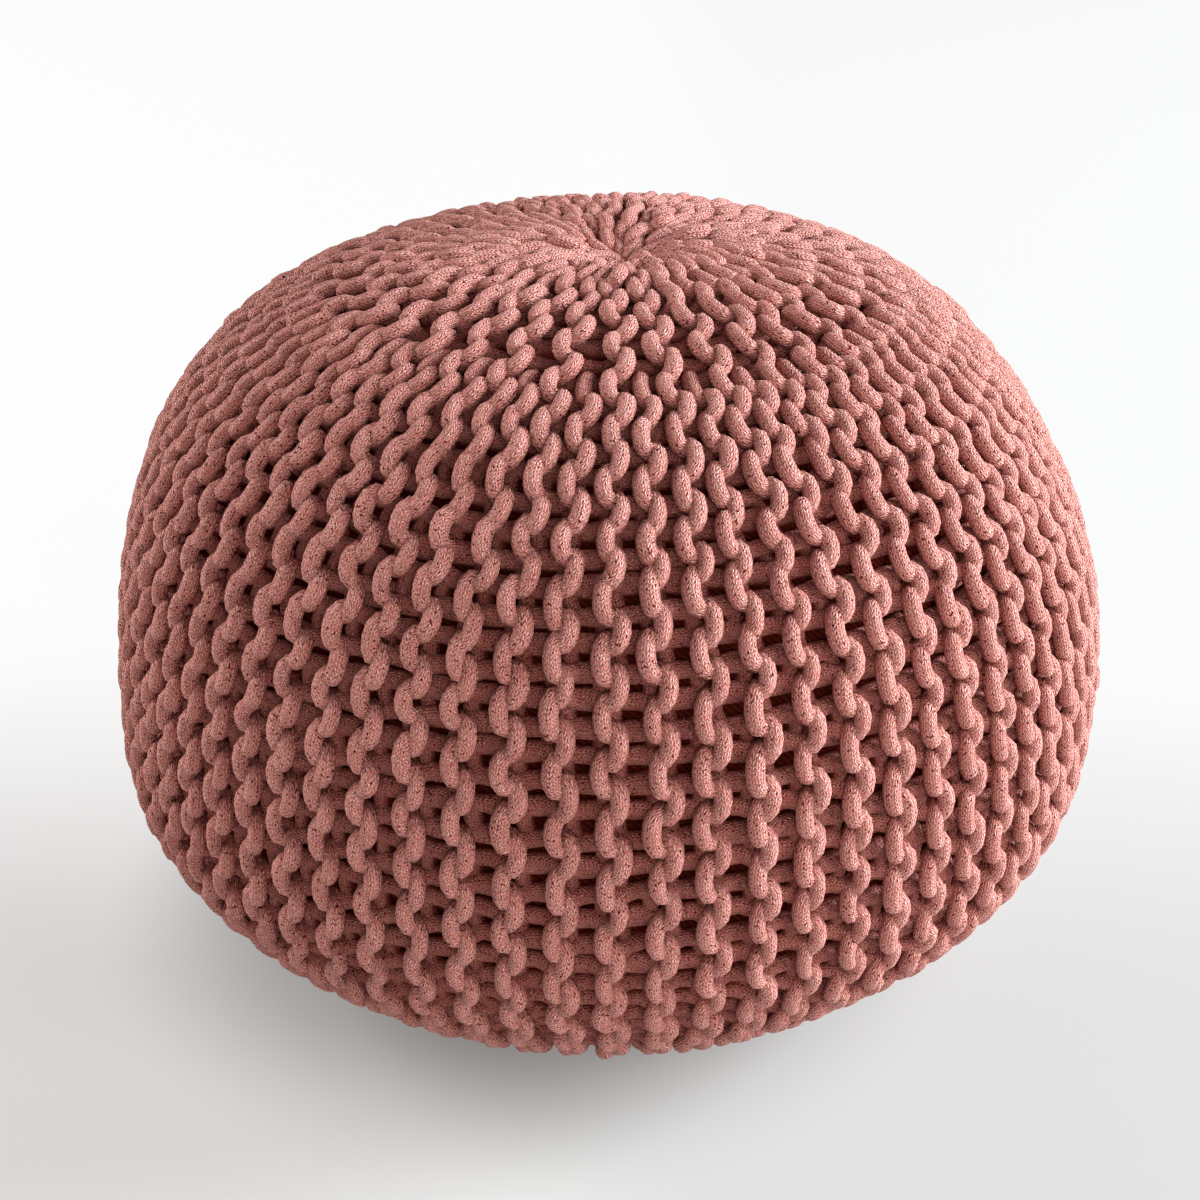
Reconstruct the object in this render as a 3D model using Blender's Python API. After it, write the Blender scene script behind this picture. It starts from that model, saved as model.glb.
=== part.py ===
"""A round knitted pouf: one filled, ribbed cover drawn together at its top and base.

Thick cord is knitted sideways, so its ridges run from the gather on top down to
the flat base. The whole cover is one closed solid. Its ridges are raised in the
surface, and every second one ends on the crown, where the cover narrows.

Metres, +Z up, origin on the floor under the middle of the pouf.
"""

import math

import bmesh
import bpy

# Driving dimensions
DIAMETER = 0.50
HEIGHT = 0.357
BELLY_HEIGHT = 0.119  # height of the widest ring above the floor
BASE_RADIUS = 0.105  # edge of the flat that rests on the floor
CROWN_FULLNESS = 2.65  # exponent of the upper half's curve, 2 being an ellipse
BELLY_FULLNESS = 2.40  # the same for the lower half
CORD_DIAMETER = 0.0073

# Gathers at the two ends of the cover
GATHER_REACH = 0.045  # radius where the dimple on top starts
GATHER_DEPTH = 0.011
GATHER_EYE = 0.011  # radius of the ring of knit around the closed eye
GATHER_OFFSET = 0.006  # how far the eye sits off the axis, towards +X
BASE_GATHER_REACH = 0.040
BASE_GATHER_DEPTH = 0.006

# Ridges of the knit, in bands from the top gather outwards: each band starts at
# a radius on the crown, and every second ridge of it ends there.
RIDGE_BANDS = (
    {"name": "eye", "start": 0.000, "ridges": 18, "depth": 0.30 * CORD_DIAMETER},
    {"name": "crown", "start": 0.040, "ridges": 36, "depth": 0.65 * CORD_DIAMETER},
    {"name": "side", "start": 0.149, "ridges": 72, "depth": 0.85 * CORD_DIAMETER},
)
BASE_RIDGES = RIDGE_BANDS[0]["ridges"]
FIRST_RIDGE = math.radians(0.5)  # azimuth of one ridge from +X
CREST_WIDTH = 1 / 3  # flat crest of a ridge as a share of its pitch
RING_STEP = 0.029  # distance between rings of points along the cover
GATHER_STEP = 0.010  # the same in the dimple on top
BASE_EASE = 0.035  # length over which the ridges sink into the flat base

# Hand-made unevenness: soft swells of the filling, centred at an azimuth from +X
# and a height, with the reach of each and how far it stands out.
SWELLS = (
    {"azimuth": 5, "height": 0.275, "around": 30, "up": 0.050, "rise": -0.0050},
    {"azimuth": 0, "height": 0.145, "around": 45, "up": 0.045, "rise": 0.0030},
    {"azimuth": 305, "height": 0.045, "around": 35, "up": 0.040, "rise": 0.0050},
    {"azimuth": 38, "height": 0.320, "around": 25, "up": 0.045, "rise": 0.0040},
    {"azimuth": 73, "height": 0.345, "around": 14, "up": 0.040, "rise": 0.0025},
    {"azimuth": 180, "height": 0.310, "around": 60, "up": 0.055, "rise": 0.0030},
    {"azimuth": 180, "height": 0.100, "around": 60, "up": 0.060, "rise": 0.0030},
)

SMOOTH_ANGLE = math.radians(60)
TERRACOTTA_ROSE = (0.50, 0.19, 0.15, 1.0)
COTTON_ROUGHNESS = 0.92

RADIUS = DIAMETER / 2
PROFILE_STEPS = 2000


def crown_height(radius):
    """Height of the smooth crown at a distance from the pouf's axis, dimple included."""
    share = min(radius / RADIUS, 1.0)
    rise = (1 - share**CROWN_FULLNESS) ** (1 / CROWN_FULLNESS)
    height = BELLY_HEIGHT + (HEIGHT - BELLY_HEIGHT) * rise
    if radius < GATHER_REACH:
        height -= GATHER_DEPTH * 0.5 * (1 + math.cos(math.pi * radius / GATHER_REACH))
    return height


def belly_radius(height):
    """Radius of the smooth lower half at a height between the floor and the belly."""
    base_share = (BASE_RADIUS / RADIUS) ** BELLY_FULLNESS
    reach = BELLY_HEIGHT / (1 - base_share) ** (1 / BELLY_FULLNESS)
    drop = (BELLY_HEIGHT - height) / reach
    return RADIUS * (1 - drop**BELLY_FULLNESS) ** (1 / BELLY_FULLNESS)


def smooth_profile():
    """Points (radius, height) from the gather's eye over the crown to the base's edge."""
    points = []
    for step in range(PROFILE_STEPS + 1):
        angle = 0.5 * math.pi * step / PROFILE_STEPS
        radius = GATHER_EYE + (RADIUS - GATHER_EYE) * math.sin(angle)
        points.append((radius, crown_height(radius)))
    for step in range(1, PROFILE_STEPS + 1):
        height = BELLY_HEIGHT * (1 - step / PROFILE_STEPS)
        points.append((belly_radius(height), height))
    return points


def stations(profile):
    """(radius, height, outward slope, distance left to the base) of each ring of points."""
    lengths = [0.0]
    for here, there in zip(profile, profile[1:]):
        lengths.append(lengths[-1] + math.dist(here, there))
    dimple = GATHER_REACH - GATHER_EYE
    dimple_rings = round(dimple / GATHER_STEP)
    side_rings = round((lengths[-1] - dimple) / RING_STEP)
    side_step = (lengths[-1] - dimple) / side_rings
    wanted = [dimple * ring / dimple_rings for ring in range(dimple_rings)]
    wanted += [dimple + side_step * ring for ring in range(side_rings + 1)]
    found = []
    index = 0
    for length in wanted:
        while index < len(profile) - 2 and lengths[index + 1] < length:
            index += 1
        (radius, height), (next_radius, next_height) = profile[index : index + 2]
        slope = math.atan2(next_radius - radius, height - next_height)
        found.append((radius, height, slope, lengths[-1] - length))
    return found


def band_at(radius, height):
    """The band of ridges that a point of the profile lies in."""
    if height < crown_height(RIDGE_BANDS[-1]["start"]):
        return RIDGE_BANDS[-1]
    return [band for band in RIDGE_BANDS if band["start"] <= radius][-1]


def swell(azimuth, height):
    """How far the filling stands out from the even form at one place."""
    total = 0.0
    for lump in SWELLS:
        turn = (azimuth - math.radians(lump["azimuth"]) + math.pi) % (2 * math.pi) - math.pi
        around = turn / math.radians(lump["around"])
        up = (height - lump["height"]) / lump["up"]
        total += lump["rise"] * math.exp(-(around**2) - up**2)
    return total


def gather_shift(radius, height):
    """How far a ring of the crown is drawn towards +X by the gather."""
    if height < BELLY_HEIGHT:
        return 0.0
    return GATHER_OFFSET * (1 - radius / RADIUS) ** 2


def ridge_azimuths(ridges):
    """(azimuth, is on a crest) around a ring: two points on each ridge and one in each valley."""
    pitch = 2 * math.pi / ridges
    marks = []
    for ridge in range(ridges):
        middle = FIRST_RIDGE + ridge * pitch
        marks.append((middle - 0.5 * CREST_WIDTH * pitch, True))
        marks.append((middle + 0.5 * CREST_WIDTH * pitch, True))
        marks.append((middle + 0.5 * pitch, False))
    return marks


def side_ring(mesh, radius, height, slope, to_base):
    """One ribbed ring of the cover, as a list of (azimuth, point)."""
    band = band_at(radius, height)
    ease = min(to_base / BASE_EASE, 1.0)
    shift = gather_shift(radius, height)
    ring = []
    for azimuth, on_crest in ridge_azimuths(band["ridges"]):
        offset = swell(azimuth, height) * ease
        if not on_crest:
            offset -= band["depth"] * ease
        out = radius + offset * math.cos(slope)
        up = height + offset * math.sin(slope)
        point = (shift + out * math.cos(azimuth), out * math.sin(azimuth), max(up, 0.0))
        ring.append((azimuth, mesh.verts.new(point)))
    return ring


def base_ring(mesh, radius, height):
    """One plain ring of the underside."""
    return [
        (azimuth, mesh.verts.new((radius * math.cos(azimuth), radius * math.sin(azimuth), height)))
        for azimuth, _ in ridge_azimuths(BASE_RIDGES)
    ]


def join_rings(mesh, upper, lower):
    """Fills the strip between two rings that may hold different numbers of points."""
    i = 0
    j = 0
    while i < len(upper) or j < len(lower):
        next_upper = upper[(i + 1) % len(upper)][0] + 2 * math.pi * (i + 1 >= len(upper))
        next_lower = lower[(j + 1) % len(lower)][0] + 2 * math.pi * (j + 1 >= len(lower))
        above = upper[i % len(upper)][1]
        below = lower[j % len(lower)][1]
        if j == len(lower) or (i < len(upper) and next_upper < next_lower):
            i += 1
            mesh.faces.new((above, below, upper[i % len(upper)][1]))
        else:
            j += 1
            mesh.faces.new((above, below, lower[j % len(lower)][1]))


def close_ring(mesh, ring, middle_x, height, facing_up):
    """Closes a ring with a fan of faces about one point."""
    middle = mesh.verts.new((middle_x, 0.0, height))
    for (_, here), (_, there) in zip(ring, ring[1:] + ring[:1]):
        corners = (middle, here, there) if facing_up else (middle, there, here)
        mesh.faces.new(corners)


def pouf_mesh():
    """The whole cover as one closed mesh."""
    mesh = bmesh.new()
    rings = [side_ring(mesh, *station) for station in stations(smooth_profile())]
    rings.append(base_ring(mesh, BASE_GATHER_REACH, 0.0))
    rings.append(base_ring(mesh, GATHER_EYE, BASE_GATHER_DEPTH))
    for upper, lower in zip(rings, rings[1:]):
        join_rings(mesh, upper, lower)
    eye_height = crown_height(0.0) - 0.5 * CORD_DIAMETER
    close_ring(mesh, rings[0], gather_shift(0.0, HEIGHT), eye_height, True)
    close_ring(mesh, rings[-1], 0.0, BASE_GATHER_DEPTH, False)
    return mesh


def cotton_cord():
    """The matt, dusty terracotta cotton of the cover."""
    material = bpy.data.materials.new("cotton_cord")
    material.use_nodes = True
    shader = material.node_tree.nodes["Principled BSDF"]
    shader.inputs["Base Color"].default_value = TERRACOTTA_ROSE
    shader.inputs["Roughness"].default_value = COTTON_ROUGHNESS
    shader.inputs["Metallic"].default_value = 0.0
    return material


def build_pouf():
    data = bpy.data.meshes.new("knitted_pouf")
    mesh = pouf_mesh()
    mesh.to_mesh(data)
    mesh.free()
    data.shade_smooth()
    data.set_sharp_from_angle(angle=SMOOTH_ANGLE)
    data.materials.append(cotton_cord())
    pouf = bpy.data.objects.new("knitted_pouf", data)
    bpy.context.scene.collection.objects.link(pouf)
    return pouf


def clear_scene():
    for item in list(bpy.data.objects):
        bpy.data.objects.remove(item, do_unlink=True)


clear_scene()
build_pouf()
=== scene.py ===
"""A round floor pouf in a cover of thick knitted cotton cord, on a pale studio floor.

The cover is garter stitch knitted sideways. Each ridge that shows is made of two rows
of cord: the heads of one row, which bulge to the right, and the sinkers of the next,
which bulge to the left and lie half a stitch further down. Between ridges both rows
pass to the back of the knit. Every second ridge ends on the crown, and again in the
gather, as short rows do.

Metres, +Z up. Colours are linear, and lengths along the form run from the top's middle.
"""

import math

import bpy
import numpy as np
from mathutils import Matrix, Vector

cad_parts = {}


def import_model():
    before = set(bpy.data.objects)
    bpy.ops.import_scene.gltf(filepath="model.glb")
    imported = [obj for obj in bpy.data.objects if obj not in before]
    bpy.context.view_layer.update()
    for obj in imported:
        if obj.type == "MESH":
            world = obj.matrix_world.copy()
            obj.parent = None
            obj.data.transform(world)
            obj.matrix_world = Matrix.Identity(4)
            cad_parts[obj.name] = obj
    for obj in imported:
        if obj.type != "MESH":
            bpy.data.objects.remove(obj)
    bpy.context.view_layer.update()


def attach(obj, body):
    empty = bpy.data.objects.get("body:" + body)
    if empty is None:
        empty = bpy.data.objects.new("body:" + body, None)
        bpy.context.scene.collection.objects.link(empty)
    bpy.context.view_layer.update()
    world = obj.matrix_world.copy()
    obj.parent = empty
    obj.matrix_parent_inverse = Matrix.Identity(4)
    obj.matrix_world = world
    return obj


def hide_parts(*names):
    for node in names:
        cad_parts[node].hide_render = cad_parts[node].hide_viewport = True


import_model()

NODE = "knitted_pouf"
BODY = "root"
SEED = 7

# The form through the ridges' crests, as in the frame but for a few millimetres
RADIUS = 0.25
HEIGHT = 0.357
BELLY_HEIGHT = 0.119  # height of the widest ring above the floor
BASE_RADIUS = 0.105  # edge of the flat that rests on the floor
CROWN_FULLNESS = 2.65  # exponent of the upper half's curve, 2 being an ellipse
BELLY_FULLNESS = 2.34  # the same for the lower half
GATHER_REACH = 0.040  # radius where the dimple on top starts
GATHER_DEPTH = 0.009
GATHER_OFFSET = 0.006  # how far the top's gather sits off the axis, towards +X
BASE_GATHER_REACH = 0.040
BASE_GATHER_DEPTH = 0.006
BASE_EASE = 0.035  # length over which the swells fade into the flat base
FORM_STEPS = 3000  # points on each half of the form's curve
NORMAL_WINDOW = 41  # points over which its normals are evened out

# Soft swells of the filling: centre, reach around and upwards, and how far each stands out
SWELLS = (
    {"azimuth": 5, "height": 0.275, "around": 30, "up": 0.050, "rise": -0.0050},
    {"azimuth": 0, "height": 0.145, "around": 45, "up": 0.045, "rise": 0.0030},
    {"azimuth": 265, "height": 0.025, "around": 45, "up": 0.035, "rise": 0.0042},
    {"azimuth": 0, "height": 0.050, "around": 40, "up": 0.030, "rise": -0.0030},
    {"azimuth": 180, "height": 0.050, "around": 40, "up": 0.030, "rise": -0.0030},
    {"azimuth": 38, "height": 0.320, "around": 25, "up": 0.045, "rise": 0.0015},
    {"azimuth": 73, "height": 0.345, "around": 14, "up": 0.040, "rise": 0.0018},
    {"azimuth": 180, "height": 0.310, "around": 60, "up": 0.055, "rise": 0.0030},
    {"azimuth": 180, "height": 0.100, "around": 60, "up": 0.060, "rise": 0.0030},
)

# The cord and its stitches
CORD = 0.0079  # diameter of the cord
BACK_WIDE = 1.05  # how much wider the cord is pressed behind the ridges
DEPTH = 0.0044  # how far the cord swings to the front and to the back of the knit's middle
STITCH = 0.0254  # length of a stitch along its row
OMEGA = 0.145  # how far the loops widen, as a share of the stitch
BACK_OMEGA = 0.03  # how much more a loop's legs stand apart behind
NECK = 0.02  # how far a loop's legs draw together, as a share of the stitch
HEAD_LEAN = -0.0010  # how far a head's lower end lies to the right of its middle
HEAD_BOW = 1.86  # how much a loop's front bends, as a share of its distance from the middle
SINKER_BOW = 1.92
CROSS_FROM = 0.25  # cosine of the phase where a loop's legs start to cross behind the ridge
CROSS_OVER = 1.00  # and the change of that cosine until they have crossed
DIVE = 2.3  # how steeply a loop's ends dive behind its neighbours
TIP = math.radians(8)  # how much further a loop's lower end stays in front than its upper one
HEAD_FRONT = 0.46  # cosine of the phase where a head passes the knit's middle
SINKER_FRONT = 0.36
BACK_REACH = 0.34  # how far behind a loop turns back, as a share of the pitch
BACK_DROP = 0.0008  # how much further in the cord lies at the back of a loop
BACK_DROP_FROM = 0.6  # cosine of the phase, told from the back, where that starts
BEHIND_FROM = 0.45  # swing where the cord starts to count as behind
BEHIND_OVER = 0.9  # and the change of swing until it does so fully

# The ridges and where they end
RIDGES = 72
FIRST_RIDGE = math.radians(0.5)  # azimuth of one ridge from +X
RIDGE_SPREAD = 0.24  # half the distance between a ridge's two cords, as a share of its pitch
RIDGE_SPREAD_LESS = 0.0004
SPREAD_LIMITS = (0.0014, 0.0037)
SHORT_ROWS = (  # a ridge ends at the first start whose every doesn't divide its number
    {"every": 2, "start": 0.150},
    {"every": 4, "start": 0.047},
    {"every": 8, "start": 0.021},
)
EYE_START = 0.008  # distance from the gather where all other ridges end
EYE_DROP = 0.004  # how far in they lie there
TUCK = 0.020  # how far a short row runs on behind its neighbours
TUCK_DROP = 0.0038  # how far in it lies at its end
END_OVER = TUCK + 0.2 * STITCH  # length over which a row's end sinks in
END_DRAW = 0.6  # how far a row's end is drawn to its ridge's middle, as a share
LEAST_RADIUS = 0.004  # radius below which a cord turns no further around the axis
BASE_STRETCH = 1.50  # how much longer distances count below, so that short rows end under the base
GATHERED_DEPTH = 0.86  # how deep the cord swings at the gathers, as a share
GATHERED_REACH = 0.085

# The loose ring of stitches beside the longest short rows
SLACK_MIDDLE = 0.128
SLACK_REACH = 0.026
SLACK_DROP = 0.0008

# Where the pouf rests, told by the distance from the middle of the base
FLOOR_PRESS = 0.80  # how much shallower the knit is there, as a share
FLOOR_PRESS_FROM = 0.232
FLOOR_PRESS_OVER = 0.050
FLOOR_SWELL = 0.15  # how much fuller the pressed cord is, as a share

# Hand-made unevenness: spread of the random values, one a half stitch
UNEVEN_LOOP = 0.17  # share of a loop's width
UNEVEN_ALONG = 0.0009
UNEVEN_ACROSS = 0.0007
UNEVEN_OUT = 0.0004
UNEVEN_CORD = 0.045  # share of the cord's thickness
ROUGH_MORE = 1.9  # how much more uneven the knit is at the gathers, as a share
ROUGH_REACH = 0.12

# Slow waves that carry the rows of stitches out of line, shared by all ridges
WAVES = (
    {"around": 2, "length": 0.31, "along": 0.0016, "across": 0.0009, "phase": 0.4},
    {"around": 5, "length": 0.17, "along": 0.0013, "across": 0.0007, "phase": 2.1},
    {"around": -9, "length": 0.12, "along": 0.0010, "across": 0.0005, "phase": 4.4},
)
WAVE_FADE = 0.05  # distance from a gather over which they fade

# Fineness of the meshes
SIDES = 10  # points around the cord
GORES = 8  # pieces that the knit is split into
FRONT_PHASES = np.radians([22, 42, 60, 78, 99])  # points of a loop on each side of its middle
BACK_PHASES = np.radians([134, 180])
BODY_AROUND = 72
BODY_ALONG = 60

# The filled body behind the knit
CORE_IN = 2.30  # how far in it lies, as a share of the swing's depth
CORE_RISE = 0.25  # how much nearer it lies to the crests where the pouf rests
CORE_EYE = 0.004  # distance from each end of the form where it is closed

# The map for baking
LINE_MARGIN = 0.02  # gap at each side of a line of cord, as a share of the line
LINE_FILL = 1 - 2 * LINE_MARGIN
CAP_REACH = 0.4  # radius of a cap, as a share of its cell

# The cord's surface. A ramp is (from, to, value there, value here).
COLUMNS = 10  # columns of strokes around the cord
STROKE_ROW = 0.0018  # distance between strokes along the cord
STROKE_TILT = 1.5  # rows that a stroke climbs from its column's middle to its edge
WOBBLE_SCALE = 300
WOBBLE = 0.8  # how far strokes stray, in rows
COLUMN_WOBBLE = 0.4  # the same across, as a share of that
GROOVE_POWER = 0.6
GRAIN_SCALE = 2200
GRAIN_ROUGH = 0.7
PIT_SCALE = 700
PIT_RAMP = (0.27, 0.36)
STROKE_PIT_RAMP = (0.30, 0.7)
FADE_SCALE = 55
FADE_RAMP = (0.3, 0.7)
TINT_DARKER = (0.70, 0.203, 0.150, 1)
TINT_LIGHTER = (0.80, 0.266, 0.208, 1)
TINT_FIBRES_AND_GLINTS = (0.95, 0.81, 0.78, 1)  # pale tips of fibres, lightened further as painted glints
TINT_IN_SHADE_AND_GRAIN = (0.20, 0.018, 0.008, 1)  # painted shade between the strokes, behind the ridges and low on the left, and darker grain at random
# painted shade in the small pits between the strokes
TINT_PIT_SHADE = (0.10, 0.011, 0.006, 1)
FIBRE_AND_GLINT_RAMP = (0.48, 0.70, 0.0, 0.80)
BACK_SHADE = (0.0020, 0.0085, 1.0, 0.50)  # painted shade, by how far in the surface lies
GAP_SHADE = (0.0096, 0.0126, 1.0, 0.04)
LOW_SHADE = (0.0, 0.12, 0.76, 1.0)  # painted shade low on the pouf, by the height above the floor
LOW_TILT = 0.3  # share by which a distance towards +X counts as height too
# painted shade in the grooves between the strokes
STROKE_SHADE = (0.0, 0.5, 0.46, 1.0)
GRAIN_SHADE = (0.3, 0.55, 0.7, 1.0)
GRAIN_HEIGHT = 0.5  # height of the grain beside that of the strokes
CORD_BUMP = (0.9, 0.0012)  # strength, distance
CORD_ROUGHNESS = (0.3, 0.7, 0.85, 0.65)
CORD_GLOSS = (0.0015, 0.0060, 0.42, 0.06)  # by how far in the surface lies
SHEEN_WEIGHT = 0.06
SHEEN_ROUGHNESS = 0.30
SHEEN_TINT = (1.0, 0.88, 0.85, 1)

# The filled body's cloth, near black as painted shade seen through the knit's gaps
TWILL_SCALE = 160
TWILL_DISTORTION = 1.5
TWILL_RAMP = (0.2, 0.8)
CLOTH_FADE_SCALE = 60
CLOTH_DARKER = (0.050, 0.006, 0.003, 1)
CLOTH_LIGHTER = (0.085, 0.011, 0.006, 1)
CLOTH_GROOVES = (0.040, 0.005, 0.003, 1)
CLOTH_BUMP = (0.6, 0.0006)
CLOTH_ROUGHNESS = (0.3, 0.7, 0.92, 1.0)

# The studio floor, which glows a little as painted light, so that it is white far off, with a
# painted shadow near the pouf
FLOOR_REACH = 30.0
FLOOR_CHANGE = (-0.15, 0.22)  # Y where it turns from near to far
FLOOR_NEAR = (0.20, 0.195, 0.185, 1)
FLOOR_FAR = (0.03, 0.03, 0.03, 1)
FLOOR_ROUGHNESS = 0.8
GLOW_NEAR = 0.48
GLOW_FAR_MORE = 0.41
GLOW_RIGHT_LESS = (0.0, 0.25, 0.0, 0.03)  # by X
CONTACT_MIDDLE = (-0.04, -0.03, 0)
CONTACT_SHADE = (0.12, 0.24, 0.38, 1.0)  # painted shadow, by the distance from there

CAMERA_PLACE = (0.0, -0.893, 0.630)
CAMERA_AIM = (-0.0036, 0.0, 0.1609)
CAMERA_LENS = 57.83
CAMERA_SENSOR = 36.0

WORLD_LIGHT = 0.06  # soft light from all round
WALL_SEEN = 0.75  # how pale the wall looks where a low view sees past the floor
LIGHT_AIM = (0, 0, 0.2)
WHITE = (1, 1, 1)
COOL = (0.93, 1.06, 1.13)
WARM = (1.03, 0.98, 0.95)
WARMER = (1.04, 0.97, 0.94)
LIGHTS = (
    {"name": "key_right", "at": (4.5, 0.6, 1.75), "size": 2.0, "power": 555, "tint": COOL},
    {"name": "key_front", "at": (3.6, -2.2, 1.9), "size": 2.0, "power": 122, "tint": WHITE},
    {"name": "rim_left", "at": (-4.4, 1.9, 2.1), "size": 2.0, "power": 300, "tint": WARM},
    {"name": "fill_front", "at": (0.8, -4.5, 1.9), "size": 3.0, "power": 102, "tint": WARMER},
)


def smooth_step(x):
    """0 below 0, 1 above 1, and eased between them."""
    x = np.clip(x, 0, 1)
    return x * x * (3 - 2 * x)


def dimple(radius, reach):
    """Share of a gather's depth at a radius."""
    return 0.5 * (1 + np.cos(np.pi * np.clip(radius / reach, 0, 1)))


def crown_height(radius):
    """Height of the smooth crown over a radius."""
    share = np.clip(radius / RADIUS, 0, 1)
    rise = (1 - share**CROWN_FULLNESS) ** (1 / CROWN_FULLNESS)
    height = BELLY_HEIGHT + (HEIGHT - BELLY_HEIGHT) * rise
    return height - GATHER_DEPTH * dimple(radius, GATHER_REACH)


def belly_radius(height):
    """Radius of the smooth lower half at a height."""
    base_share = (BASE_RADIUS / RADIUS) ** BELLY_FULLNESS
    reach = BELLY_HEIGHT / (1 - base_share) ** (1 / BELLY_FULLNESS)
    drop = (BELLY_HEIGHT - height) / reach
    return RADIUS * (1 - drop**BELLY_FULLNESS) ** (1 / BELLY_FULLNESS)


def evened(values):
    """Values along a curve, each averaged with its neighbours."""
    window = np.ones(NORMAL_WINDOW) / NORMAL_WINDOW
    padded = np.pad(values, NORMAL_WINDOW // 2, mode="edge")
    return np.convolve(padded, window, mode="valid")


class Form:
    """The smooth form through the ridges' crests, by distance from the top along it."""

    def __init__(self):
        angle = np.linspace(0, 0.5 * np.pi, FORM_STEPS)
        crown = RADIUS * np.sin(angle)
        heights = BELLY_HEIGHT * np.linspace(1, 0, FORM_STEPS)[1:]
        base = np.linspace(BASE_RADIUS, 0, FORM_STEPS // 4)[1:]
        base_height = BASE_GATHER_DEPTH * dimple(base, BASE_GATHER_REACH)
        r = np.concatenate([crown, belly_radius(heights), base])
        z = np.concatenate([crown_height(crown), heights, base_height])
        s = np.concatenate([[0], np.cumsum(np.hypot(np.diff(r), np.diff(z)))])
        self.length = float(s[-1])
        self.s = np.linspace(0, self.length, 4 * FORM_STEPS)
        self.r = np.interp(self.s, s, r)
        self.z = np.interp(self.s, s, z)
        dr = evened(np.gradient(self.r, self.s))
        dz = evened(np.gradient(self.z, self.s))
        size = np.hypot(dr, dz)
        self.nr = -dz / size
        self.nz = dr / size

    def at(self, s):
        """Radius, height and outward normal at distances along the form."""
        return (
            np.interp(s, self.s, self.r),
            np.interp(s, self.s, self.z),
            np.interp(s, self.s, self.nr),
            np.interp(s, self.s, self.nz),
        )


FORM = Form()
LAST_STITCH = int(np.floor(FORM.length / STITCH))
SPARE = 2  # random values before a row's first stitch
HALF_STITCHES = 2 * (LAST_STITCH + 2 * SPARE)


def swell(azimuth, height):
    """How far the filling stands out from the even form."""
    total = np.zeros_like(azimuth)
    for lump in SWELLS:
        turn = (azimuth - math.radians(lump["azimuth"]) + np.pi) % (2 * np.pi) - np.pi
        around = turn / math.radians(lump["around"])
        up = (height - lump["height"]) / lump["up"]
        total += lump["rise"] * np.exp(-(around**2) - up**2)
    return total


def place(azimuth, s, out):
    """Points of the pouf, by azimuth, distance from the top, and distance outside the crests."""
    r, z, nr, nz = FORM.at(s)
    ease = np.clip((FORM.length - BASE_RADIUS - s) / BASE_EASE, 0, 1)
    offset = out + swell(azimuth, z) * ease
    shift = np.where(z > BELLY_HEIGHT, GATHER_OFFSET * (1 - r / RADIUS) ** 2, 0)
    reach = r + offset * nr
    return np.stack(
        [shift + reach * np.cos(azimuth), reach * np.sin(azimuth), z + offset * nz], -1
    )


def outward(azimuth, s):
    """Outward normals of the form."""
    _, _, nr, nz = FORM.at(s)
    return np.stack([nr * np.cos(azimuth), nr * np.sin(azimuth), nz], -1)


def from_end(s):
    """Distance from the nearer gather, told longer below so that short rows end under the base."""
    return np.minimum(s, BASE_STRETCH * (FORM.length - s))


def ridges_at(s):
    """How many ridges lie around the pouf, blended over about a stitch at the short rows."""
    near = from_end(s)
    count = np.full_like(near, float(RIDGES))
    for rows in SHORT_ROWS:
        closed = smooth_step(0.5 + (rows["start"] - near) / STITCH)
        count = count / (1 + closed)
    return count


def pitch_at(s):
    """Distance between the middles of two ridges."""
    return 2 * np.pi * FORM.at(s)[0] / ridges_at(s)


def floor_press(s):
    """How hard the floor presses the knit, 0 to 1."""
    return smooth_step((FLOOR_PRESS_FROM - (FORM.length - s)) / FLOOR_PRESS_OVER)


def depth_at(s):
    """How far the cord swings to each side of the knit's middle, less near gathers and floor."""
    gathered = GATHERED_DEPTH + (1 - GATHERED_DEPTH) * smooth_step(from_end(s) / GATHERED_REACH)
    return DEPTH * gathered * (1 - FLOOR_PRESS * floor_press(s))


def slack_at(s):
    """How loose the knit is beside the longest short rows, 0 to 1."""
    return np.exp(-(((from_end(s) - SLACK_MIDDLE) / SLACK_REACH) ** 2))


def drift(azimuth, s):
    """How far the slow waves shift the knit along its ridges and across them."""
    along = np.zeros_like(s)
    across = np.zeros_like(s)
    for wave in WAVES:
        turn = wave["around"] * azimuth + 2 * np.pi * s / wave["length"] + wave["phase"]
        along += wave["along"] * np.sin(turn)
        across += wave["across"] * np.cos(turn)
    fade = smooth_step(from_end(s) / WAVE_FADE)
    return along * fade, across * fade


def row_start(ridge):
    """Distance from the gather where a ridge's rows end."""
    for rows in SHORT_ROWS:
        if ridge % rows["every"]:
            return rows["start"]
    return EYE_START


def row_turns(start, front):
    """Phases of one row's cord, a full turn a stitch, and how far along the form they lie."""
    first_stitch = int(np.ceil(start / STITCH)) - 1
    stitch = np.arange(first_stitch, LAST_STITCH + 1)
    phases = front + np.concatenate(
        [-BACK_PHASES[:1], -FRONT_PHASES[::-1], [0], FRONT_PHASES, BACK_PHASES]
    )
    turn = (2 * np.pi * stitch[:, None] + phases[None, :]).ravel()
    along = STITCH * turn / (2 * np.pi)
    keep = (from_end(along) > start) & (along > 0) & (along < FORM.length)
    return turn[keep], along[keep]


def uneven(rng, half, spread):
    """Random offsets along a row, one value a half stitch and eased between them."""
    values = rng.normal(0, spread, HALF_STITCHES)
    index = np.clip(np.floor(half).astype(int), 0, len(values) - 2)
    part = smooth_step(half - index)
    return values[index] * (1 - part) + values[index + 1] * part


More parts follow.
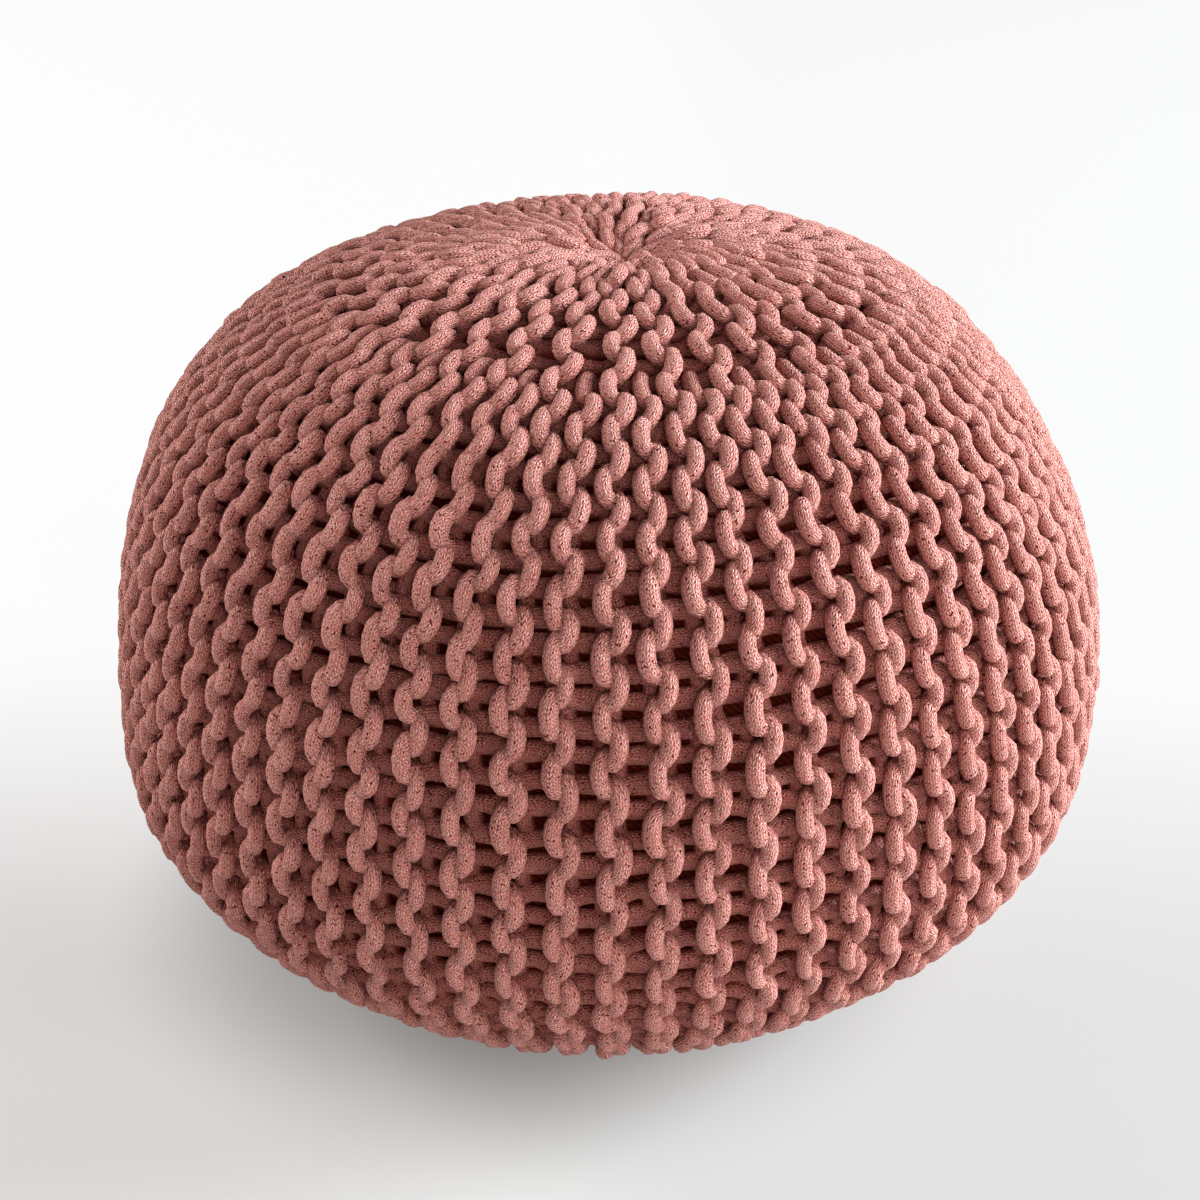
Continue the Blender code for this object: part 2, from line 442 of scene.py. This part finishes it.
def across_ridge(phase, along, is_head_row):
    """How far right of its ridge's middle a row's cord lies: bowed in front, turned back behind."""
    cosine = np.cos(phase)
    pitch = pitch_at(along)
    spread = np.clip(RIDGE_SPREAD * pitch - RIDGE_SPREAD_LESS, *SPREAD_LIMITS)
    reach = BACK_REACH * pitch + spread
    bow = spread * (HEAD_BOW if is_head_row else SINKER_BOW)
    crossed = smooth_step((CROSS_FROM - cosine) / CROSS_OVER)
    side = 1.0 if is_head_row else -1.0
    return side * (spread - bow * (1 - cosine) - 2 * (reach - bow) * crossed)


def swing_at(cosine, middle):
    """How far the cord swings between the knit's back, -1, and its front, 1."""
    top = math.tanh(DIVE * (1 - middle))
    bottom = math.tanh(DIVE * (-1 - middle))
    return 2 * (np.tanh(DIVE * (cosine - middle)) - bottom) / (top - bottom) - 1


def row_path(ridge, is_head_row, rng):
    """Where one row's cord runs: azimuths, distances from the top and distances outside the
    crests, with its radii and how far it lies behind the ridges, 0 to 1."""
    start = row_start(ridge)
    is_short = start > EYE_START
    if is_short:
        start -= TUCK
    front = 0.0 if is_head_row else np.pi
    turn, along = row_turns(start, front)
    half = turn / np.pi + SPARE
    phase = (turn - front + np.pi) % (2 * np.pi) - np.pi
    ridge_azimuth = FIRST_RIDGE + 2 * np.pi * ridge / RIDGES
    drift_along, drift_across = drift(ridge_azimuth, along)
    rough = 1 + ROUGH_MORE * (1 - smooth_step(from_end(along) / ROUGH_REACH))

    omega = (OMEGA + BACK_OMEGA * smooth_step(-np.cos(phase))) * STITCH
    omega *= 1 + uneven(rng, half, UNEVEN_LOOP)
    s = along + omega * np.sin(2 * turn) - NECK * STITCH * np.sin(turn)
    s += rough * uneven(rng, half, UNEVEN_ALONG)
    s += drift_along

    across = across_ridge(phase, along, is_head_row) + drift_across
    if is_head_row:
        across += HEAD_LEAN * np.sin(phase)
    across += rough * uneven(rng, half, UNEVEN_ACROSS)

    tipped = np.cos(phase - TIP)
    swing = swing_at(tipped, HEAD_FRONT if is_head_row else SINKER_FRONT)
    out = depth_at(along) * (swing - 1) - 0.5 * CORD
    out -= BACK_DROP * np.clip((-tipped - BACK_DROP_FROM) / (1 - BACK_DROP_FROM), 0, 1)
    out -= SLACK_DROP * slack_at(along) * smooth_step(0.5 - 0.5 * swing)
    out += rough * uneven(rng, half, UNEVEN_OUT)

    end = smooth_step(1 - (from_end(along) - start) / END_OVER)
    out -= (TUCK_DROP if is_short else EYE_DROP) * end
    across *= 1 - END_DRAW * end
    azimuth = ridge_azimuth + across / np.maximum(FORM.at(s)[0], LEAST_RADIUS)
    thick = 0.5 * CORD * (1 + uneven(rng, half, UNEVEN_CORD))
    thick *= 1 + FLOOR_SWELL * floor_press(along)
    behind = smooth_step((BEHIND_FROM - swing) / BEHIND_OVER)
    return azimuth, s, out, thick, behind


def tube(azimuth, s, out, thick, behind):
    """Rings of points of a cord, (steps, SIDES, 3), the length run along it and their depths."""
    path = place(azimuth, s, out)
    normal = outward(azimuth, s)
    tangent = np.gradient(path, axis=0)
    tangent /= np.linalg.norm(tangent, axis=1, keepdims=True)
    side = np.cross(tangent, normal)
    side /= np.linalg.norm(side, axis=1, keepdims=True)
    up = np.cross(side, tangent)
    turn = 2 * np.pi * np.arange(SIDES) / SIDES
    wide = 1 + (BACK_WIDE - 1) * behind
    sideways = (wide[:, None] * side)[:, None, :] * np.cos(turn)[None, :, None]
    upwards = up[:, None, :] * np.sin(turn)[None, :, None]
    ring = sideways + upwards
    rings = path[:, None, :] + thick[:, None, None] * ring
    rings[..., 2] = np.maximum(rings[..., 2], 0)
    sunk = -(out[:, None] + thick[:, None] * np.einsum("ska,sa->sk", ring, normal))
    steps = np.linalg.norm(np.diff(path, axis=0), axis=1)
    run = np.concatenate([[0], np.cumsum(steps)])
    return rings, run, sunk


def tube_faces(steps, start):
    """Quads of one tube, wound so that they face out, as (faces, 4) vertex numbers."""
    ring = np.arange(steps - 1)[:, None] * SIDES
    around = np.arange(SIDES)[None, :]
    there = (around + 1) % SIDES
    corners = [ring + around, ring + there, ring + SIDES + there, ring + SIDES + around]
    return start + np.stack(corners, -1).reshape(-1, 4)


def quad_corners(u0, u1, v0, v1):
    """Map points of quads between two edges each way, in the order of their corners."""
    corners = [(u0, v0), (u0, v1), (u1, v1), (u1, v0)]
    return np.stack([np.stack(pair, -1) for pair in corners], 2).reshape(-1, 2)


def tube_uv(run):
    """Map of a tube: the run along the cord in metres, and the turn around it in turns."""
    u0 = np.repeat(run[:-1, None], SIDES, 1)
    u1 = np.repeat(run[1:, None], SIDES, 1)
    v0 = np.broadcast_to(np.arange(SIDES)[None, :] / SIDES, u0.shape)
    return quad_corners(u0, u1, v0, v0 + 1 / SIDES)


def bake_map(lengths, caps):
    """A map without overlaps for baking: the cords laid end to end in lines, then the caps."""
    total = float(lengths.sum())
    lines = int(np.ceil(math.sqrt(total / (math.pi * CORD))))
    line_length = total / lines
    longest = float(lengths.max())
    begin = np.concatenate([[0], np.cumsum(lengths)[:-1]])
    line = np.minimum((begin / line_length).astype(int), lines - 1)
    u0 = (begin - line * line_length) / (line_length + longest)
    u1 = u0 + lengths / (line_length + longest)
    around = np.arange(SIDES)[None, :] / SIDES
    v0 = (line[:, None] + LINE_MARGIN + LINE_FILL * around) / (lines + 1)
    v1 = v0 + LINE_FILL / SIDES / (lines + 1)
    u0 = np.broadcast_to(u0[:, None], v0.shape)
    u1 = np.broadcast_to(u1[:, None], v0.shape)
    quads = quad_corners(u0, u1, v0, v1)
    turn = 2 * np.pi * np.arange(SIDES) / SIDES
    middle = (np.arange(caps) + 0.5) / caps
    reach = CAP_REACH * min(1 / caps, 1 / (lines + 1))
    cap_u = middle[:, None] + reach * np.cos(turn)[None, :]
    cap_v = (lines + 0.5) / (lines + 1) + reach * np.sin(turn)[None, :]
    cap_v = np.broadcast_to(cap_v, cap_u.shape)
    return np.concatenate([quads, np.stack([cap_u, cap_v], -1).reshape(-1, 2)])


def add_object(name, data):
    """A new object in the scene."""
    item = bpy.data.objects.new(name, data)
    bpy.context.scene.collection.objects.link(item)
    return item


def mesh_from(name, points, quads, caps, uv, sunk, bake_uv):
    """A mesh of quads and end caps, with the cord's map, the bake's map and how deep it lies."""
    data = bpy.data.meshes.new(name)
    data.vertices.add(len(points))
    data.vertices.foreach_set("co", points.astype(np.float32).ravel())
    loops = quads.size + caps.size
    data.loops.add(loops)
    corners = np.concatenate([quads.ravel(), caps.ravel()]).astype(np.int32)
    data.loops.foreach_set("vertex_index", corners)
    quad_starts = np.arange(len(quads)) * 4
    cap_starts = quads.size + np.arange(len(caps)) * SIDES
    starts = np.concatenate([quad_starts, cap_starts]).astype(np.int32)
    data.polygons.add(len(quads) + len(caps))
    data.polygons.foreach_set("loop_start", starts)
    data.update(calc_edges=True)
    cord_uv = np.zeros((loops, 2), np.float32)
    cord_uv[: len(uv)] = uv
    data.uv_layers.new(name="cord").data.foreach_set("uv", cord_uv.ravel())
    bake_uv = bake_uv.astype(np.float32)
    data.uv_layers.new(name="OFBake").data.foreach_set("uv", bake_uv.ravel())
    layer = data.attributes.new("sunk", "FLOAT", "POINT")
    layer.data.foreach_set("value", sunk.astype(np.float32))
    data.validate()
    data.shade_smooth()
    return data


def knit_gore(gore, rng, material):
    """One eighth of the knit: the cords of its ridges, as one mesh."""
    points = []
    quads = []
    caps = []
    uvs = []
    depths = []
    lengths = []
    start = 0
    per_gore = RIDGES // GORES
    for ridge in range(gore * per_gore, (gore + 1) * per_gore):
        for is_head_row in (True, False):
            rings, run, sunk = tube(*row_path(ridge, is_head_row, rng))
            steps = len(rings)
            points.append(rings.reshape(-1, 3))
            quads.append(tube_faces(steps, start))
            end = start + (steps - 1) * SIDES
            caps.append(start + np.arange(SIDES)[::-1])
            caps.append(end + np.arange(SIDES))
            uvs.append(tube_uv(run + rng.uniform(0, 1)))
            depths.append(sunk.ravel())
            lengths.append(np.diff(run))
            start += steps * SIDES
    data = mesh_from(
        f"knit_gore_{gore + 1}",
        np.concatenate(points),
        np.concatenate(quads),
        np.stack(caps),
        np.concatenate(uvs),
        np.concatenate(depths),
        bake_map(np.concatenate(lengths), len(caps)),
    )
    data.materials.append(material)
    return add_object(data.name, data)


def filled_body(material):
    """The filled body that the knit is stretched over, seen only through its gaps, its near black
    colour painted shade.
    """
    s = np.linspace(CORE_EYE, FORM.length - CORE_EYE, BODY_ALONG)
    azimuth = 2 * np.pi * np.arange(BODY_AROUND) / BODY_AROUND
    grid_a, grid_s = np.meshgrid(azimuth, s)
    inset = 0.5 * CORD + CORE_IN * depth_at(grid_s) + SLACK_DROP * slack_at(grid_s)
    inset *= 1 - CORE_RISE * floor_press(grid_s)
    points = place(grid_a, grid_s, -inset).reshape(-1, 3)
    faces = []
    for row in range(BODY_ALONG - 1):
        for column in range(BODY_AROUND):
            here = row * BODY_AROUND + column
            there = row * BODY_AROUND + (column + 1) % BODY_AROUND
            faces.append((here, here + BODY_AROUND, there + BODY_AROUND, there))
    faces.append(tuple(range(BODY_AROUND)))
    faces.append(tuple(range(len(points) - BODY_AROUND, len(points)))[::-1])
    data = bpy.data.meshes.new("filled_body")
    data.from_pydata(points.tolist(), [], faces)
    data.shade_smooth()
    data.materials.append(material)
    return add_object("filled_body", data)


class Nodes:
    """A new material and short ways to add nodes to it and link them."""

    def __init__(self, name):
        self.material = bpy.data.materials.new(name)
        self.material.use_nodes = True
        self.tree = self.material.node_tree
        self.inputs = self.tree.nodes["Principled BSDF"].inputs

    def add(self, kind, **settings):
        node = self.tree.nodes.new(kind)
        for name, value in settings.items():
            setattr(node, name, value)
        return node

    def feed(self, socket, value):
        if isinstance(value, bpy.types.NodeSocket):
            self.tree.links.new(value, socket)
        else:
            socket.default_value = value

    def axes(self, vector):
        node = self.add("ShaderNodeSeparateXYZ")
        self.feed(node.inputs[0], vector)
        return node.outputs

    def math(self, operation, *values):
        node = self.add("ShaderNodeMath", operation=operation)
        for socket, value in zip(node.inputs, values):
            self.feed(socket, value)
        return node.outputs[0]

    def ramp(self, value, low, high, to_low=0.0, to_high=1.0):
        node = self.add("ShaderNodeMapRange", interpolation_type="SMOOTHSTEP")
        for socket, number in zip(node.inputs, (value, low, high, to_low, to_high)):
            self.feed(socket, number)
        return node.outputs[0]

    def noise(self, where, scale, detail=2.0, rough=0.5):
        node = self.add("ShaderNodeTexNoise")
        self.feed(node.inputs["Vector"], where)
        node.inputs["Scale"].default_value = scale
        node.inputs["Detail"].default_value = detail
        node.inputs["Roughness"].default_value = rough
        return node.outputs["Fac"]

    def mix(self, share, low, high):
        node = self.add("ShaderNodeMix", data_type="RGBA")
        self.feed(node.inputs["Factor"], share)
        self.feed(node.inputs["A"], low)
        self.feed(node.inputs["B"], high)
        return node.outputs["Result"]

    def bump(self, height, strength, distance):
        node = self.add("ShaderNodeBump")
        node.inputs["Strength"].default_value = strength
        node.inputs["Distance"].default_value = distance
        self.feed(node.inputs["Height"], height)
        self.feed(self.inputs["Normal"], node.outputs[0])


def cord_strokes(n, where):
    """Height of the yarn's slanted strokes, which climb to the left and right in turn."""
    cord_axes = n.axes(n.add("ShaderNodeUVMap", uv_map="cord").outputs["UV"])
    stray = n.math("SUBTRACT", n.noise(where, WOBBLE_SCALE), 0.5)
    wobble = n.math("MULTIPLY", stray, WOBBLE)
    column_wobble = n.math("MULTIPLY", wobble, COLUMN_WOBBLE)
    column = n.math("MULTIPLY_ADD", cord_axes["Y"], COLUMNS, column_wobble)
    slant = n.math("ABSOLUTE", n.math("SUBTRACT", n.math("FRACT", column), 0.5))
    row = n.math("DIVIDE", cord_axes["X"], STROKE_ROW)
    row = n.math("ADD", n.math("MULTIPLY_ADD", slant, STROKE_TILT, row), wobble)
    stroke = n.math("SINE", n.math("MULTIPLY", n.math("FRACT", row), math.pi))
    half = n.math("FRACT", n.math("MULTIPLY", column, 2.0))
    groove = n.math("SINE", n.math("MULTIPLY", half, math.pi))
    return n.math("MULTIPLY", stroke, n.math("POWER", groove, GROOVE_POWER))


def cord_light(n, where, sunk):
    """How much of the cord's colour is left under painted shade: less behind the ridges and low on
    the left.
    """
    lit = n.math("MULTIPLY", n.ramp(sunk, *BACK_SHADE), n.ramp(sunk, *GAP_SHADE))
    place_axes = n.axes(where)
    # painted shade, deeper low on the pouf and towards -X
    low = n.math("MULTIPLY_ADD", place_axes["X"], LOW_TILT, place_axes["Z"])
    return n.math("MULTIPLY", lit, n.ramp(low, *LOW_SHADE))


def cord_material():
    """Matt cotton cord in a dusty terracotta rose, with pale fibres lightened as painted glints,
    dark pits of painted shade, and painted shade in its grooves, behind the ridges and low on the
    left.
    """
    n = Nodes("cotton_cord_knit")
    where = n.add("ShaderNodeTexCoord").outputs["Object"]
    sunk = n.add("ShaderNodeAttribute", attribute_name="sunk").outputs["Fac"]
    strokes = cord_strokes(n, where)
    grain = n.noise(where, GRAIN_SCALE, rough=GRAIN_ROUGH)
    # dark pits between the strokes, painted shade in the yarn's small holes
    filled = n.ramp(n.noise(where, PIT_SCALE, detail=0.0), *PIT_RAMP)
    filled = n.math("MAXIMUM", filled, n.ramp(strokes, *STROKE_PIT_RAMP))
    fade = n.ramp(n.noise(where, FADE_SCALE), *FADE_RAMP)
    tint = n.mix(fade, TINT_DARKER, TINT_LIGHTER)
    # pale fibre tips at random, lightened as painted glints
    tint = n.mix(n.ramp(grain, *FIBRE_AND_GLINT_RAMP), tint, TINT_FIBRES_AND_GLINTS)
    # painted shade in the grooves between the strokes, and darker grain at random
    shade = n.math("MULTIPLY", n.ramp(strokes, *STROKE_SHADE), n.ramp(grain, *GRAIN_SHADE))
    # painted shade behind the ridges and low on the left
    shade = n.math("MULTIPLY", shade, cord_light(n, where, sunk))
    colour = n.mix(shade, TINT_IN_SHADE_AND_GRAIN, tint)
    n.feed(n.inputs["Base Color"], n.mix(filled, TINT_PIT_SHADE, colour))
    height = n.math("MULTIPLY_ADD", grain, GRAIN_HEIGHT, n.math("MULTIPLY", strokes, filled))
    n.bump(height, *CORD_BUMP)
    n.feed(n.inputs["Roughness"], n.ramp(grain, *CORD_ROUGHNESS))
    n.inputs["Sheen Weight"].default_value = SHEEN_WEIGHT
    n.inputs["Sheen Roughness"].default_value = SHEEN_ROUGHNESS
    n.inputs["Sheen Tint"].default_value = SHEEN_TINT
    gloss = n.math("MULTIPLY", filled, n.ramp(sunk, *CORD_GLOSS))
    n.feed(n.inputs["Specular IOR Level"], gloss)
    return n.material


def body_material():
    """The twill of the filled body behind the knit, dark as painted shade."""
    n = Nodes("body_cloth_painted_shade")
    where = n.add("ShaderNodeTexCoord").outputs["Object"]
    wave = n.add("ShaderNodeTexWave", wave_type="BANDS", bands_direction="DIAGONAL")
    n.feed(wave.inputs["Vector"], where)
    wave.inputs["Scale"].default_value = TWILL_SCALE
    wave.inputs["Distortion"].default_value = TWILL_DISTORTION
    twill = wave.outputs["Fac"]
    fade = n.noise(where, CLOTH_FADE_SCALE)
    colour = n.mix(fade, CLOTH_DARKER, CLOTH_LIGHTER)
    colour = n.mix(n.ramp(twill, *TWILL_RAMP), CLOTH_GROOVES, colour)
    n.feed(n.inputs["Base Color"], colour)
    n.bump(twill, *CLOTH_BUMP)
    n.feed(n.inputs["Roughness"], n.ramp(fade, *CLOTH_ROUGHNESS))
    n.inputs["Specular IOR Level"].default_value = 0.0
    return n.material


def floor_material():
    """Pale studio paint with a soft glow of painted light, and a painted shadow near the pouf and
    around where it stands.
    """
    n = Nodes("studio_paint_glow_and_shadow")
    where = n.add("ShaderNodeTexCoord").outputs["Object"]
    axes = n.axes(where)
    away = n.ramp(axes["Y"], *FLOOR_CHANGE)
    n.feed(n.inputs["Base Color"], n.mix(away, FLOOR_NEAR, FLOOR_FAR))
    n.inputs["Emission Color"].default_value = (*WHITE, 1)
    apart = n.add("ShaderNodeVectorMath", operation="DISTANCE")
    n.feed(apart.inputs[0], where)
    apart.inputs[1].default_value = CONTACT_MIDDLE
    # painted shadow around where the pouf stands
    near = n.ramp(apart.outputs["Value"], *CONTACT_SHADE)
    glow = n.math("MULTIPLY_ADD", away, GLOW_FAR_MORE, GLOW_NEAR)
    glow = n.math("SUBTRACT", glow, n.ramp(axes["X"], *GLOW_RIGHT_LESS))
    n.feed(n.inputs["Emission Strength"], n.math("MULTIPLY", glow, near))
    n.inputs["Roughness"].default_value = FLOOR_ROUGHNESS
    return n.material


def floor():
    """The studio floor, which is stage and no part of the pouf."""
    signs = ((-1, -1), (1, -1), (1, 1), (-1, 1))
    corners = [(x * FLOOR_REACH, y * FLOOR_REACH, 0) for x, y in signs]
    data = bpy.data.meshes.new("studio_floor")
    data.from_pydata(corners, [], [(0, 1, 2, 3)])
    data.materials.append(floor_material())
    add_object("studio_floor", data)


def look_from(item, place_at, aim):
    """Puts a camera or a light at a place and turns it towards another."""
    item.location = place_at
    away = Vector(aim) - Vector(place_at)
    item.rotation_euler = away.to_track_quat("-Z", "Y").to_euler()


def camera():
    """The photo's camera."""
    data = bpy.data.cameras.new("photo_camera")
    data.lens = CAMERA_LENS
    data.sensor_width = CAMERA_SENSOR
    item = add_object("photo_camera", data)
    look_from(item, CAMERA_PLACE, CAMERA_AIM)
    bpy.context.scene.camera = item


def world():
    """Faint light from all round, and a pale wall where the camera sees past the floor."""
    studio = bpy.data.worlds.new("studio")
    studio.use_nodes = True
    tree = studio.node_tree
    background = tree.nodes["Background"]
    background.inputs["Color"].default_value = (*WHITE, 1)
    seen = tree.nodes.new("ShaderNodeLightPath").outputs["Is Camera Ray"]
    strength = tree.nodes.new("ShaderNodeMath")
    strength.operation = "MULTIPLY_ADD"
    strength.inputs[1].default_value = WALL_SEEN - WORLD_LIGHT
    strength.inputs[2].default_value = WORLD_LIGHT
    tree.links.new(seen, strength.inputs[0])
    tree.links.new(strength.outputs[0], background.inputs["Strength"])
    bpy.context.scene.world = studio


def lights():
    """Soft studio lamps: the key from the right, with weaker ones behind and in front."""
    for lamp in LIGHTS:
        data = bpy.data.lights.new(lamp["name"], "AREA")
        data.shape = "DISK"
        data.size = lamp["size"]
        data.energy = lamp["power"]
        data.color = lamp["tint"]
        look_from(add_object(lamp["name"], data), lamp["at"], LIGHT_AIM)


bpy.context.scene.view_settings.view_transform = "Standard"
camera()
world()
lights()
floor()
cord = cord_material()
rng = np.random.default_rng(SEED)
pieces = [knit_gore(gore, rng, cord) for gore in range(GORES)]
body = filled_body(body_material())
pieces.append(body)
for piece in pieces:
    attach(piece, BODY)
    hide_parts(NODE)
